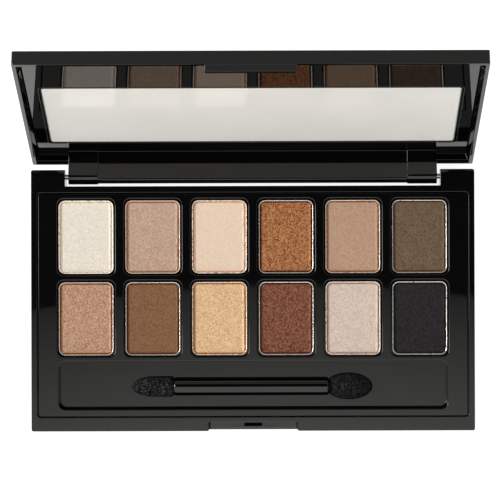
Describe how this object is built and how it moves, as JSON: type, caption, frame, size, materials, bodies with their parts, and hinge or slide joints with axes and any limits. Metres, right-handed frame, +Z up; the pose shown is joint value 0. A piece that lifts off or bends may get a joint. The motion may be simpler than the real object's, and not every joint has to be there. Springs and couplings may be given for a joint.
{
  "type": "eyeshadow palette",
  "caption": "Shallow rectangular makeup case with a hinged mirror lid, two rows of pressed powder pans and a double-ended sponge applicator in a tray.",
  "frame": {"origin": "centre of the base's underside, on the surface that the palette lies on", "axes": "+X to the user's right along the hinge, +Y from the front edge towards the hinge, +Z up"},
  "size_m": [0.13, 0.1072, 0.0746],
  "materials": {
    "case_plastic": "gloss black, injection moulded",
    "deck_plastic": "gloss black, injection moulded",
    "lid_plastic": "gloss black, injection moulded",
    "liner_plastic": "high gloss black",
    "handle_plastic": "gloss black",
    "foam": "fine open-cell foam",
    "pan_metal": "drawn sheet metal",
    "pin_steel": "bright drawn wire",
    "mirror_glass": "silvered glass with ground edges",
    "adhesive": "clear adhesive",
    "powder_ivory": "pearl pressed powder",
    "powder_pink_taupe": "shimmer pressed powder",
    "powder_peach_cream": "matte pressed powder",
    "powder_bronze": "shimmer pressed powder",
    "powder_dusty_tan": "satin pressed powder",
    "powder_grey_brown": "matte pressed powder",
    "powder_rose_gold": "shimmer pressed powder",
    "powder_mid_brown": "matte pressed powder",
    "powder_light_gold": "shimmer pressed powder",
    "powder_burgundy_brown": "shimmer pressed powder",
    "powder_champagne": "pearl pressed powder",
    "powder_soft_black": "matte pressed powder"
  },
  "bodies": {
    "base": {"base_shell": "case_plastic", "pan_deck": "deck_plastic", "pan_glue_dots": "adhesive", "pan_back_1": "pan_metal", "pan_back_2": "pan_metal", "pan_back_3": "pan_metal", "pan_back_4": "pan_metal", "pan_back_5": "pan_metal", "pan_back_6": "pan_metal", "pan_front_1": "pan_metal", "pan_front_2": "pan_metal", "pan_front_3": "pan_metal", "pan_front_4": "pan_metal", "pan_front_5": "pan_metal", "pan_front_6": "pan_metal", "powder_back_1": "powder_ivory", "powder_back_2": "powder_pink_taupe", "powder_back_3": "powder_peach_cream", "powder_back_4": "powder_bronze", "powder_back_5": "powder_dusty_tan", "powder_back_6": "powder_grey_brown", "powder_front_1": "powder_rose_gold", "powder_front_2": "powder_mid_brown", "powder_front_3": "powder_light_gold", "powder_front_4": "powder_burgundy_brown", "powder_front_5": "powder_champagne", "powder_front_6": "powder_soft_black", "applicator_handle": "handle_plastic", "applicator_tip_pointed": "foam", "applicator_tip_oval": "foam", "hinge_pin_left": "pin_steel", "hinge_pin_right": "pin_steel"},
    "lid": {"lid_shell": "lid_plastic", "lid_liner": "liner_plastic", "mirror": "mirror_glass", "mirror_tape": "adhesive"}
  },
  "joints": [
    {"name": "lid_hinge", "type": "hinge", "parent": "base", "child": "lid", "pos_m": [0, 0.03633, 0.005], "axis": [1, 0, 0], "range_deg": [0, 109]}
  ]
}
